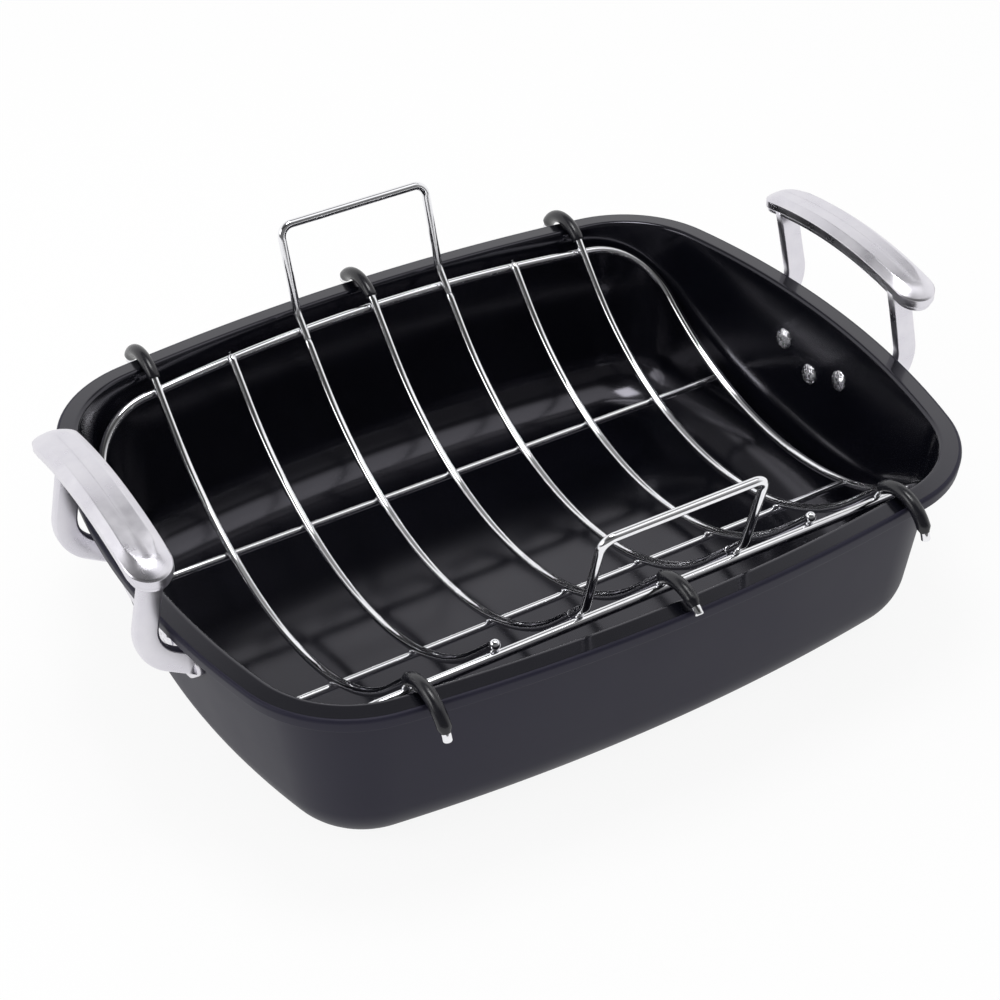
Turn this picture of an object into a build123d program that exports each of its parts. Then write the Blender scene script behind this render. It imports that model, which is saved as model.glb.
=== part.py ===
from build123d import *
from math import asin, atan2, cos, degrees, hypot, radians, sin, sqrt
import os

# Roasting pan with a lift-out cradle rack. Millimetres, +Z up, X along the pan's long side.
# The origin is the middle of the pan's underside. The rear is +Y.

# Pan body: one pressed sheet
sheet = 1.0
pan_height = 102.3
rim_half_length = 193.6
rim_half_width = 151.9
rim_side_bow = 928.0
rim_end_bow = 410.0
rim_corner = 52.1
end_taper = 13.5
side_taper = 14.2
base_side_bow = 1001.0
base_end_bow = 398.0
base_corner = 40.1
base_bend = 30.0
lip_width = 10.4
lip_inner_bend = 2.2
bead_radius = 2.0
skirt_depth = 7.4

# End handles: one casting each
grip_width = 21.5
grip_length = 126.0
grip_overhang = 12.4
grip_top = 151.4
grip_arch = 247.0
grip_thickness = 7.2
grip_bevel = 4.0
grip_bevel_drop = 3.0
grip_bevel_blend = 1.2
rib_thickness = 2.6
rib_inset = 1.1
leg_spacing = 93.0
leg_thickness = 5.2
leg_width = 11.6
leg_bend = 21.5
leg_bend_inset = 5.1
leg_bend_centre_z = 99.5
leg_root_angle = 58.0
leg_lean = 12.5
flange_thickness = 3.4
flange_low = 57.5
flange_high = 84.0
flange_low_half = 38.0
flange_high_half = 27.0
flange_tip_half = 57.5
flange_tip_z = 75.0
flange_corner = 7.0
handle_seat_gap = 0.05

# Rivets through the end walls
rivet_spacing = 23.7
rivet_centre_z = 66.1
rivet_outer_z = 75.4
rivet_shank = 6.0
rivet_head = 11.0
rivet_head_height = 2.2
rivet_gap = 0.05

# Rack: round wires welded into a cradle, an arc with straight flanks
cradle_count = 7
cradle_wire = 4.4
cradle_low = 32.1
flank_straight = 25.5
perimeter_wire = 4.8
long_wire = 4.0
lift_wire = 3.9
weld_gap = 0.1
rail_wall_gap = 13.8
rail_drop = 4.2
rail_bow = 1121.0
rack_corner_gap = 1.0
rack_end_bow = 2000.0
end_wire_inset = 45.5
loop_corner = 40.5
long_wire_reach = 56.5
short_wire_overhang = 3.0
tall_wire_overhang = 7.0
ball_end = 5.2

# Hooks over the rim, with their sleeves
end_hook_radius = 19.5
middle_hook_radius = 21.5
end_tip_angle = 13.0
front_tip_angle = 45.0
rear_tip_angle = 25.0
sleeve_diameter = 6.7
sleeve_bore_gap = 0.1
sleeve_start = 4.5
bare_tip = 3.5
hook_seat_gap = 0.3

# Lift handles
lift_height = 57.6
lift_corner = 6.3
lift_tilt = 15.9

# Cut overrun
overrun = 5.0

os.makedirs("parts", exist_ok=True)


def finish(part, label):
    """Names a finished piece and writes it."""
    part.label = label
    export_step(part, f"parts/{label}.step")


def grown(outline, amount):
    """The same bowed outline, offset outward."""
    return [value + amount for value in outline]


def corner_centre(outline):
    """The centre of the right rear corner's arc, tangent inside to both bowed sides."""
    half_length, half_width, side_bow, end_bow, corner = outline
    side_centre = side_bow - half_width
    end_centre = end_bow - half_length
    apart = hypot(side_centre, end_centre)
    side_leg = side_bow - corner
    end_leg = end_bow - corner
    along = (side_leg**2 - end_leg**2 + apart**2) / (2 * apart)
    across = sqrt(side_leg**2 - along**2)
    corner_x = (across * side_centre - along * end_centre) / apart
    corner_y = (along * side_centre + across * end_centre) / apart - side_centre
    return corner_x, corner_y


def bowed_outline(plane, outline):
    """A rectangle with bowed sides, in which every arc is tangent to the next."""
    half_length, half_width, side_bow, end_bow, corner = outline
    side_centre = side_bow - half_width
    end_centre = end_bow - half_length
    corner_x, corner_y = corner_centre(outline)
    side_angle = degrees(atan2(corner_x, corner_y + side_centre))
    end_angle = degrees(atan2(corner_y, corner_x + end_centre))
    corner_angle = 90 - side_angle - end_angle
    with BuildSketch(plane) as sketch:
        with BuildLine():
            CenterArc((0, -side_centre), side_bow, 90 - side_angle, 2 * side_angle)
            CenterArc((-corner_x, corner_y), corner, 90 + side_angle, corner_angle)
            CenterArc((end_centre, 0), end_bow, 180 - end_angle, 2 * end_angle)
            CenterArc((-corner_x, -corner_y), corner, 180 + end_angle, corner_angle)
            CenterArc((0, side_centre), side_bow, 270 - side_angle, 2 * side_angle)
            CenterArc((corner_x, -corner_y), corner, 270 + side_angle, corner_angle)
            CenterArc((-end_centre, 0), end_bow, -end_angle, 2 * end_angle)
            CenterArc((corner_x, corner_y), corner, end_angle, corner_angle)
        make_face()
    return sketch.sketch


base_half_length = rim_half_length - end_taper
base_half_width = rim_half_width - side_taper
base_outline = [base_half_length, base_half_width, base_side_bow, base_end_bow, base_corner]
rim_outline = [rim_half_length, rim_half_width, rim_side_bow, rim_end_bow, rim_corner]
skirt_low = pan_height - skirt_depth
end_draft = end_taper / pan_height

# Pan body

# The outer form of the wall, filleted round the base
with BuildPart() as bowl:
    bowl_floor = bowed_outline(Plane.XY, base_outline)
    bowl_mouth = bowed_outline(Plane.XY.offset(pan_height), rim_outline)
    loft([bowl_floor, bowl_mouth], ruled=True)
    fillet(bowl.faces().sort_by(Axis.Z)[0].edges(), base_bend)

# The hollow, one sheet smaller
with BuildPart() as hollow:
    hollow_floor = bowed_outline(Plane.XY.offset(sheet), grown(base_outline, end_draft * sheet - sheet))
    hollow_mouth = bowed_outline(Plane.XY.offset(pan_height), grown(rim_outline, -sheet))
    loft([hollow_floor, hollow_mouth], ruled=True)
    fillet(hollow.faces().sort_by(Axis.Z)[0].edges(), base_bend - sheet)

with BuildPart() as pan_body:
    # Rim block with its rounded outer edge
    extrude(bowed_outline(Plane.XY.offset(skirt_low), grown(rim_outline, lip_width)), amount=skirt_depth)
    fillet(pan_body.faces().sort_by(Axis.Z)[-1].edges(), bead_radius)
    # Open underside between wall and skirt
    underside = bowed_outline(Plane.XY.offset(skirt_low), grown(rim_outline, lip_width - sheet))
    extrude(underside, amount=skirt_depth - sheet, mode=Mode.SUBTRACT)
    add(bowl.part)
    add(hollow.part, mode=Mode.SUBTRACT)
    inner_lip = pan_body.faces().filter_by(Plane.XY).sort_by(Axis.Z)[-1].inner_wires()[0].edges()
    fillet(inner_lip, lip_inner_bend)


def wall_point(y, z, grow):
    """A point on the right end wall's outer face, or that far outside it."""
    rise = z / pan_height
    half_length = base_half_length + end_taper * rise
    end_bow = base_end_bow + (rim_end_bow - base_end_bow) * rise
    return half_length - end_bow + sqrt(end_bow**2 - y**2) + grow


def rivet_plane(y, z):
    """A plane on the right end wall's outer face, facing out along its normal."""
    plan_angle = asin(y / rim_end_bow)
    normal = (cos(plan_angle), sin(plan_angle), -end_draft)
    return Plane(origin=(wall_point(y, z, 0), y, z), z_dir=normal)


rivet_places = [(-rivet_spacing, rivet_outer_z), (0, rivet_centre_z), (rivet_spacing, rivet_outer_z)]
hole_radius = rivet_shank / 2 + rivet_gap
hole_depth = sheet + overrun

with BuildPart() as rivet_drill:
    for y, z in rivet_places:
        with BuildSketch(rivet_plane(y, z).offset(-hole_depth)):
            Circle(hole_radius)
        extrude(amount=hole_depth + flange_thickness + overrun)
    mirror(about=Plane.YZ)

with BuildPart() as drilled_pan:
    add(pan_body.part)
    add(rivet_drill.part, mode=Mode.SUBTRACT)
finish(drilled_pan.part, "pan_body")

# Rivets: a domed head inside, a shank and a domed head on the flange
grip_range = sheet + handle_seat_gap + flange_thickness
with BuildPart() as rivet:
    with BuildSketch(Plane.XZ):
        with BuildLine():
            low = -rivet_gap
            high = grip_range + rivet_gap
            head = rivet_head / 2
            shank = rivet_shank / 2
            Line((0, low - rivet_head_height), (0, high + rivet_head_height))
            TangentArc((0, high + rivet_head_height), (head, high), tangent=(1, 0))
            Polyline((head, high), (shank, high), (shank, low), (head, low))
            TangentArc((0, low - rivet_head_height), (head, low), tangent=(1, 0))
        make_face()
    revolve(axis=Axis.Z)

with BuildPart() as rivets_right:
    for y, z in rivet_places:
        with Locations(rivet_plane(y, z).offset(-sheet)):
            add(rivet.part)
with BuildPart() as rivets_left:
    add(mirror(rivets_right.part, about=Plane.YZ, mode=Mode.PRIVATE))
finish(rivets_right.part, "rivets_right")
finish(rivets_left.part, "rivets_left")

# End handles

# The wall's outer form, grown to the flange's back and to its face
skins = []
for grow in (handle_seat_gap, handle_seat_gap + flange_thickness):
    with BuildPart() as skin:
        skin_floor = bowed_outline(Plane.XY, grown(base_outline, grow))
        skin_mouth = bowed_outline(Plane.XY.offset(pan_height), grown(rim_outline, grow))
        loft([skin_floor, skin_mouth], ruled=True)
    skins.append(skin.part)

flange_start = wall_point(flange_tip_half, flange_low, 0) - overrun
flange_end = wall_point(0, flange_high, flange_thickness) + overrun
with BuildPart() as flange:
    with BuildSketch(Plane.YZ.offset(flange_start)) as plate:
        with BuildLine():
            Polyline(
                (flange_low_half, flange_low),
                (flange_tip_half, flange_tip_z),
                (flange_high_half, flange_high),
                (-flange_high_half, flange_high),
                (-flange_tip_half, flange_tip_z),
                (-flange_low_half, flange_low),
                close=True,
            )
        make_face()
        fillet(plate.vertices(), flange_corner)
    extrude(amount=flange_end - flange_start)
    add(skins[1], mode=Mode.INTERSECT)

grip_centre = rim_half_length + grip_overhang


# Arched grip: a bar with bevelled upper edges over a slightly narrower rib
def arched_bar(top_radius, thickness, inset):
    """A bar bent to an arch, with ends round in plan."""
    arch_z = grip_top - grip_arch
    with BuildPart() as bar:
        with BuildSketch(Plane.YZ.offset(grip_centre - grip_width)):
            with Locations((0, arch_z)):
                Circle(top_radius)
                Circle(top_radius - thickness, mode=Mode.SUBTRACT)
        extrude(amount=2 * grip_width)
        with BuildSketch(Plane.XY.offset(grip_top - grip_width)):
            with Locations((grip_centre, 0)):
                SlotOverall(grip_length - 2 * inset, grip_width - 2 * inset, rotation=90)
        extrude(amount=2 * grip_width, mode=Mode.INTERSECT)
    return bar.part


grip_cap = arched_bar(grip_arch, grip_thickness, 0)
grip_rib = arched_bar(grip_arch - grip_thickness, rib_thickness, rib_inset)
with BuildPart() as grip:
    add(grip_cap)
    top_face = grip.faces().sort_by(Axis.Z)[-1]
    chamfer(top_face.edges(), grip_bevel_drop, grip_bevel, reference=top_face)
    fillet(grip.faces().sort_by(Axis.Z)[-1].edges(), grip_bevel_blend)
    add(grip_rib)

leg_top = grip_top - grip_thickness
leg_bend_centre = (rim_half_length - leg_bend_inset, leg_bend_centre_z)
with BuildPart() as casting:
    add(flange.part)
    for side in (-1, 1):
        with BuildSketch(Plane.XZ.offset(side * leg_spacing / 2)):
            with BuildLine() as strap:
                bend = CenterArc(leg_bend_centre, leg_bend, -leg_root_angle, leg_root_angle + leg_lean)
                Line(bend @ 0 - (bend % 0) * leg_bend, bend @ 0)
                rise = (leg_top - (bend @ 1).Y) / cos(radians(leg_lean))
                Line(bend @ 1, bend @ 1 + (bend % 1) * rise)
            trace(line_width=leg_width)
        extrude(amount=leg_thickness / 2, both=True)
    add(skins[0], mode=Mode.SUBTRACT)
    add(grip.part)
    add(rivet_drill.part, mode=Mode.SUBTRACT)
handle_right = casting.part
handle_left = mirror(handle_right, about=Plane.YZ)
finish(handle_right, "handle_right")
finish(handle_left, "handle_left")

# Rack

perimeter_out = (cradle_wire + perimeter_wire) / 2 + weld_gap
long_out = (cradle_wire + long_wire) / 2 + weld_gap
bead_z = pan_height - bead_radius

# The rails hang inside the rim, and the cradle is the arc whose straight flanks reach them
rail_y = rim_half_width - sheet - rail_wall_gap
rail_z = pan_height - rail_drop
rail_rise = rail_z - cradle_low
reach_squared = rail_y**2 + rail_rise**2 - perimeter_out**2 - flank_straight**2
cradle_radius = reach_squared / (2 * (rail_rise + perimeter_out))
slope = atan2(rail_y, cradle_radius - rail_rise) - atan2(flank_straight, cradle_radius + perimeter_out)
flank_angle = degrees(slope)
cradle_z = cradle_low + cradle_radius
flank_start = slope * cradle_radius
rail_reach = flank_start + flank_straight


def on_rack(x, run, out):
    """A point of the rack: so far along X, so far round from the lowest line, so far outside."""
    bent = max(-flank_start, min(flank_start, run))
    angle = bent / cradle_radius
    straight = run - bent
    y = (cradle_radius + out) * sin(angle) + straight * cos(angle)
    z = cradle_z - (cradle_radius + out) * cos(angle) + straight * sin(angle)
    return Vector(x, y, z)


# The end wires clear the bowed end walls where the rack's corners start
corner_start = on_rack(0, rail_reach - loop_corner, perimeter_out)
rack_half_length = wall_point(corner_start.Y, corner_start.Z, -sheet) - rack_corner_gap
pitch = (rack_half_length - end_wire_inset) / ((cradle_count - 1) / 2)


def rail_run(x):
    """How far round the rack the bowed rail lies at x."""
    return rail_reach - rail_bow + sqrt(rail_bow**2 - x**2)


def hook_run(x, radius):
    """How far round a cradle wire bends into its hook, so that the arch clears the rim's bead."""
    outline = grown(rim_outline, lip_width - bead_radius)
    bead_y = outline[1] - outline[2] + sqrt(outline[2] ** 2 - x**2)
    hang = radius - sleeve_diameter / 2 - hook_seat_gap - bead_radius
    first = on_rack(x, flank_start, radius)
    away_y = bead_y - first.Y
    away_z = bead_z - first.Z
    along = away_y * cos(slope) + away_z * sin(slope)
    aside = away_y * sin(slope) - away_z * cos(slope)
    return flank_start + along - sqrt(hang**2 - aside**2)


def swept_wire(path, diameter):
    """A round wire along a path."""
    with BuildPart() as wire:
        with BuildSketch(Plane(origin=path @ 0, z_dir=path % 0)):
            Circle(diameter / 2)
        sweep(path=path)
    return wire.part


def cradle_x(number):
    """Where the numbered cradle wire stands, counted from the left."""
    return (number - (cradle_count + 1) / 2) * pitch


def section(x, run):
    """A point of a cradle wire's middle line, in the plane across the pan at x."""
    point = on_rack(x, run, 0)
    return point.Y, point.Z


def hooked_wire(x, radius, front_tip, rear_tip):
    """A cradle wire that runs on into a hook over each rim."""
    run = hook_run(x, radius)
    centre = on_rack(x, run, radius)
    top_angle = 90 + flank_angle
    with BuildLine(Plane.YZ.offset(x)) as path:
        CenterArc((-centre.Y, centre.Z), radius, 180 - front_tip, front_tip - top_angle)
        Line(section(x, -run), section(x, -flank_start))
        CenterArc((0, cradle_z), cradle_radius, 270 - flank_angle, 2 * flank_angle)
        Line(section(x, flank_start), section(x, run))
        CenterArc((centre.Y, centre.Z), radius, top_angle, rear_tip - top_angle)
    return swept_wire(path.line, cradle_wire)


def plain_wire(x, overhang, balled):
    """A cradle wire that ends just past the rails, with or without a ball on its front end."""
    run = rail_run(x) + overhang
    with BuildLine(Plane.YZ.offset(x)) as path:
        Line(section(x, -run), section(x, -flank_start))
        CenterArc((0, cradle_z), cradle_radius, 270 - flank_angle, 2 * flank_angle)
        Line(section(x, flank_start), section(x, run))
    with BuildPart() as wire:
        add(swept_wire(path.line, cradle_wire))
        if balled:
            with Locations(path.line @ 0):
                Sphere(ball_end / 2)
    return wire.part


def hook_sleeve(x, radius, tip_angle):
    """The sleeve on a rear hook, from just past the rail to the bare tip."""
    run = hook_run(x, radius)
    centre = on_rack(x, run, radius)
    past = max(0, rail_run(x) + sleeve_start - run)
    first_angle = 90 + flank_angle - degrees(past / radius)
    last_angle = tip_angle + degrees(bare_tip / radius)
    with BuildLine(Plane.YZ.offset(x)) as path:
        CenterArc((centre.Y, centre.Z), radius, first_angle, last_angle - first_angle)
    with BuildPart() as sleeve:
        with BuildSketch(Plane(origin=path.line @ 0, z_dir=path.line % 0)):
            Circle(sleeve_diameter / 2)
            Circle(cradle_wire / 2 + sleeve_bore_gap, mode=Mode.SUBTRACT)
        sweep(path=path.line)
    return sleeve.part


# Cradle wires with hooks, and the sleeves on them
hooks = [
    (1, "left", end_hook_radius, end_tip_angle, end_tip_angle),
    ((cradle_count + 1) // 2, "middle", middle_hook_radius, front_tip_angle, rear_tip_angle),
    (cradle_count, "right", end_hook_radius, end_tip_angle, end_tip_angle),
]
for number, place, radius, front_tip, rear_tip in hooks:
    x = cradle_x(number)
    finish(hooked_wire(x, radius, front_tip, rear_tip), f"cradle_wire_{number}")
    finish(hook_sleeve(x, radius, rear_tip), f"sleeve_rear_{place}")
    front_sleeve = mirror(hook_sleeve(x, radius, front_tip), about=Plane.XZ)
    finish(front_sleeve, f"sleeve_front_{place}")

# Cradle wires that end just past the rails, with a ball in front
for number in (2, 6):
    finish(plain_wire(cradle_x(number), short_wire_overhang, True), f"cradle_wire_{number}")

# Perimeter wire: bowed rails, round corners and slightly bowed ends, bent to the cradle's form
loop_outline = [rack_half_length, rail_reach, rail_bow, rack_end_bow, loop_corner]
loop_x, loop_run = corner_centre(loop_outline)
rail_share = rail_bow / (rail_bow - loop_corner)
end_share = rack_end_bow / (rack_end_bow - loop_corner)
rail_end_x = loop_x * rail_share
end_start_run = loop_run * end_share


def end_x(run):
    """Where the bowed end wire stands along X, so far round the rack."""
    return rack_half_length - rack_end_bow + sqrt(rack_end_bow**2 - run**2)


with BuildLine() as quarter:
    rail_middle = on_rack(0, rail_reach, perimeter_out)
    rail_end = on_rack(rail_end_x, rail_run(rail_end_x), perimeter_out)
    rail = TangentArc(rail_middle, rail_end, tangent=(1, 0, 0))
    end_start = on_rack(end_x(end_start_run), end_start_run, perimeter_out)
    end_middle = on_rack(rack_half_length, 0, perimeter_out)
    end_wire = TangentArc(end_middle, end_start, tangent=(0, 1, 0))
    # Two tangent arcs join the rail to the end: their handles have one length
    rail_way = rail % 1
    end_way = -(end_wire % 1)
    across = end_start - rail_end
    turn = 2 - 2 * rail_way.dot(end_way)
    slant = across.dot(rail_way + end_way)
    handle = (sqrt(slant**2 + turn * across.dot(across)) - slant) / turn
    rail_handle = rail_end + rail_way * handle
    end_handle = end_start - end_way * handle
    joint = (rail_handle + end_handle) / 2
    TangentArc(rail_end, joint, tangent=rail_way)
    TangentArc(joint, end_start, tangent=end_handle - rail_handle)
right_half = Wire(quarter.edges() + [edge.mirror(Plane.XZ) for edge in quarter.edges()])
with BuildPart() as perimeter:
    add(swept_wire(right_half, perimeter_wire))
    mirror(about=Plane.YZ)
finish(perimeter.part, "perimeter_wire")

# Long wires under the cradle wires, butted on the perimeter's ends
long_point = on_rack(end_x(long_wire_reach), long_wire_reach, long_out)
long_half = long_point.X - perimeter_wire / 2 - weld_gap
for side, place in ((1, "rear"), (-1, "front")):
    with BuildPart() as long_rod:
        with BuildSketch(Plane.YZ.offset(-long_half)):
            with Locations((side * long_point.Y, long_point.Z)):
                Circle(long_wire / 2)
        extrude(amount=2 * long_half)
    finish(long_rod.part, f"long_wire_{place}")

# Lift handles: each stands on its rail, in the planes of cradle wires 3 and 5
lean = radians(lift_tilt)
lift_foot = on_rack(0, rail_run(pitch), perimeter_out)
with BuildLine(Plane(origin=lift_foot, x_dir=(1, 0, 0), z_dir=(0, -cos(lean), sin(lean)))) as lift_path:
    FilletPolyline(
        (-pitch, 0),
        (-pitch, lift_height),
        (pitch, lift_height),
        (pitch, 0),
        radius=lift_corner,
    )
with BuildLine() as rail_path:
    add(rail)
    mirror(about=Plane.YZ)
with BuildPart() as lift_handle:
    add(swept_wire(lift_path.line, lift_wire))
    # Feet coped to sit on the rail
    add(swept_wire(Wire(rail_path.edges()), perimeter_wire + 2 * weld_gap), mode=Mode.SUBTRACT)
finish(lift_handle.part, "lift_handle_rear")
finish(mirror(lift_handle.part, about=Plane.XZ), "lift_handle_front")

# Cradle wires 3 and 5 run up to the legs and are coped round them
with BuildPart() as leg_room:
    add(swept_wire(lift_path.line, lift_wire + 2 * weld_gap))
    mirror(about=Plane.XZ)
for number in (3, 5):
    with BuildPart() as coped:
        add(plain_wire(cradle_x(number), tall_wire_overhang, False))
        add(leg_room.part, mode=Mode.SUBTRACT)
    finish(coped.part, f"cradle_wire_{number}")
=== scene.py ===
import math

import bpy
from mathutils import Matrix, Vector, noise

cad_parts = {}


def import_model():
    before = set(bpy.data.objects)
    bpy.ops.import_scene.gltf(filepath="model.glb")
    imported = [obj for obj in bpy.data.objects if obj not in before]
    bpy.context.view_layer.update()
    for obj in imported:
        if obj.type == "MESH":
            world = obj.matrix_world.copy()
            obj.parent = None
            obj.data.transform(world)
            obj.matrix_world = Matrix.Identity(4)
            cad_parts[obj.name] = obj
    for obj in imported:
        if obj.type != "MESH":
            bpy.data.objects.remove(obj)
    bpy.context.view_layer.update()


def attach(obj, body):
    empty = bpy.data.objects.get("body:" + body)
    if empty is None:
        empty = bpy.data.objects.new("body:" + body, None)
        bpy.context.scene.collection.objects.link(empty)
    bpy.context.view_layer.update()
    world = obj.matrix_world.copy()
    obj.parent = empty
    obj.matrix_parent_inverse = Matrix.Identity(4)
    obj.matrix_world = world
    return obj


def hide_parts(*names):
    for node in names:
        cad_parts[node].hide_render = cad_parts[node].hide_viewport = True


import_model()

# Roasting pan with a lift-out cradle rack.
# The sizes below are in millimetres and become metres in the meshes.
MM = 0.001

# Pan body. An outline is half length, half width, side bow, end bow and corner radius.
SHEET = 1.0
PAN_HEIGHT = 102.3
BASE = (180.1, 137.7, 1001.0, 398.0, 40.1)
RIM = (193.6, 151.9, 928.0, 410.0, 52.1)
BASE_BEND = 30.0
LIP_WIDTH = 10.4
LIP_INNER_BEND = 2.2
LIP_SLOPE = 0.55
BEAD_RADIUS = 2.0
SKIRT_DEPTH = 7.4
SKIRT_EDGE_SHARE = 0.35
WALL_LEAN = math.atan2(RIM[0] - BASE[0], PAN_HEIGHT)

# End handles. A leg's root is sunk into the flange and its top into the grip.
GRIP_WIDTH = 21.5
GRIP_LENGTH = 126.0
GRIP_CENTRE = 206.0
GRIP_TOP = 151.4
GRIP_ARCH = 247.0
GRIP_BEVEL = 4.0
GRIP_BEVEL_DROP = 3.0
BEVEL_SHARES = (0, 0, 0.06, 0.3, 0.5, 0.7, 0.9, 0.96, 1)
NOSE_INSET = 8.6
NOSE_START_SHARE = 0.8
NOSE_STEP = 0.05
BEVEL_BLEND = 0.5
FLAT_MARGIN = 0.3
BEVEL_FOOT = 0.35
GRIP_SPINE = 0.05
CAP_THICKNESS = 7.2
RIB_THICKNESS = 2.6
RIB_INSET = 1.1
# Rounded edges as (inset, drop) from the sharp edge
CAP_LOWER_EDGE = [(0.0, -0.7), (0.12, -0.25), (0.5, 0.0)]
RIB_ROOT = [(0.35, 0.05), (0.1, 0.35), (0.0, 0.6)]
RIB_LOWER_EDGE = [(0.0, -0.8), (0.25, -0.25), (0.9, 0.0)]
LEG_SPACING = 93.0
LEG_THICKNESS = 5.2
LEG_WIDTH = 11.6
LEG_BEND = 21.5
LEG_BEND_CENTRE = (188.5, 99.5)
LEG_ROOT_ANGLE = math.radians(-58.0)
LEG_LEAN = math.radians(12.5)
LEG_EDGE = 1.3
LEG_ROOT_RUN = 16.0
LEG_SINK = 2.0
ROOT_CLEARANCE = 0.4
LEG_FREE_HEIGHT = 92.0
FLANGE_THICKNESS = 3.4
FLANGE_HALF = [(38.0, 57.5), (57.5, 75.0), (27.0, 84.0)]
FLANGE_CORNER = 7.0
FLANGE_EDGE = 0.9
FLANGE_WALL_GAP = 0.05
FLANGE_EDGE_STEPS = 14
MIDDLE_SHARE = 0.05

# Rivets
RIVET_PLACES = [(-23.7, 75.4), (0.0, 66.1), (23.7, 75.4)]
RIVET_HEAD = 11.0
RIVET_HEAD_HEIGHT = 2.2
RIVET_DENT = 0.16
RIVET_SHEET_GAP = 0.05
RIVET_FLANGE_GAP = 0.1
RIVET_TIP = 0.01

# Rack
CRADLE_WIRE = 4.4
CRADLE_LOW = 32.1
FLANK_STRAIGHT = 25.5
PERIMETER_WIRE = 4.8
LONG_WIRE = 4.0
LIFT_WIRE = 4.4
WELD_GAP = 0.1
RAIL_WALL_GAP = 13.8
RAIL_DROP = 4.2
RAIL_BOW = 1121.0
RACK_CORNER_GAP = 1.0
END_WIRE_INSET = 45.5
RACK_END_BOW = 2000.0
LOOP_CORNER = 40.5
LONG_WIRE_REACH = 56.5
SHORT_OVERHANG = 3.0
BALL_END = 5.2
END_HOOK = 19.5
MIDDLE_HOOK = 21.5
END_TIP = math.radians(13.0)
FRONT_TIP = math.radians(45.0)
REAR_TIP = math.radians(25.0)
SLEEVE = 6.7
SLEEVE_START = 4.5
BARE_TIP = 3.5
SEAT_GAP = 0.3
SLEEVE_EDGE = 1.0
WELD_SIZE = (2.5, 1.9, 0.9)
WELD_UNEVENNESS = 0.14
LIFT_HEIGHT = 57.3
LIFT_CORNER = 6.3
LIFT_LEAN = math.radians(15.9)
LIFT_BEND = 9.0
LIFT_TAIL = 13.0
LIFT_SEAM = 0.1
WIRE_EDGE = 0.8
JOINT_EDGE = 0.25
LONG_WIRE_EDGE = 0.3

# Studio
FLOOR_WHITE_SHARE = 0.9
CEILING = 0.24
BACKDROP_EDGE = (0.66, 0.72)
CAMERA_SIDE = 0.15
SOFTBOX_WAY = (0.40, -0.15, 0.90)
SOFTBOX_EDGE = (0.92, 0.97)
SOFTBOX_GAIN = 1.0
FILL = 0.7
BACKDROP_WAY = (0.5014, 0.8652, 0)
BACKDROP_SIDE_EDGE = (-0.45, 0.15)
FLOOR_HALF = 6.0
FLOOR_DROP = 0.0002

# The coatings glint slightly violet
COAT_TINT = (0.90, 0.88, 1.0, 1)

# Mesh fineness
STEP = 2.5
BEND_STEP = 0.8
HOOK_STEP = 1.5
WIRE_SIDES = 24
RIVET_SIDES = 32


# Mesh helpers

def add_piece(name, mesh, body, materials, node=None):
    """An object that rides on a body, takes its finish from a slot and may replace a CAD node."""
    piece = bpy.data.objects.new(name, mesh)
    bpy.context.scene.collection.objects.link(piece)
    for material in materials:
        mesh.materials.append(material)
    for polygon in mesh.polygons:
        polygon.use_smooth = True
    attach(piece, body)
    if node:
        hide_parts(node)


class Shell:
    """Collects quads between rings of points, in millimetres, and becomes one mesh."""

    def __init__(self):
        self.points = []
        self.faces = []
        self.paints = []

    def rings(self, rings, closed=False, caps=False, paint=None):
        start = len(self.points)
        count = len(rings[0])
        for ring in rings:
            self.points += [Vector(point) * MM for point in ring]
        for i in range(len(rings) if closed else len(rings) - 1):
            a = start + i * count
            b = start + (i + 1) % len(rings) * count
            for j in range(count):
                k = (j + 1) % count
                self.faces.append((a + j, a + k, b + k, b + j))
                self.paints.append(paint[i] if paint else 0)
        if caps:
            last = start + (len(rings) - 1) * count
            self.faces.append(tuple(range(start + count - 1, start - 1, -1)))
            self.faces.append(tuple(range(last, last + count)))
            self.paints += [paint[0] if paint else 0, paint[-1] if paint else 0]

    def mirror(self):
        """Turns a right end's piece into a left one."""
        self.points = [Vector((-p.x, p.y, p.z)) for p in self.points]
        self.faces = [tuple(reversed(face)) for face in self.faces]

    def mesh(self, name):
        mesh = bpy.data.meshes.new(name)
        mesh.from_pydata(self.points, [], self.faces)
        mesh.polygons.foreach_set("material_index", self.paints)
        mesh.update()
        return mesh


def arc_points(start, way, stop, step=STEP):
    """Points of the arc that leaves start along way and ends at stop."""
    start, way, stop = Vector(start), Vector(way).normalized(), Vector(stop)
    chord = stop - start
    aside = chord - way * chord.dot(way)
    if aside.length < 1e-6:
        count = max(2, round(chord.length / step))
        return [start.lerp(stop, i / count) for i in range(count + 1)]
    aside.normalize()
    radius = chord.length_squared / (2 * chord.dot(aside))
    turn = 2 * math.atan2(chord.dot(aside), chord.dot(way))
    count = max(4, round(radius * turn / step))
    points = []
    for i in range(count + 1):
        angle = turn * i / count
        points.append(start + aside * radius * (1 - math.cos(angle)) + way * radius * math.sin(angle))
    return points


def joined(*runs):
    """Runs of points, each starting where the last one ends, as one path."""
    path = list(runs[0])
    for run in runs[1:]:
        path += list(run)[1:]
    return path


def end_way(path):
    """The direction in which a path ends."""
    return (path[-1] - path[-2]).normalized()


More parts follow.
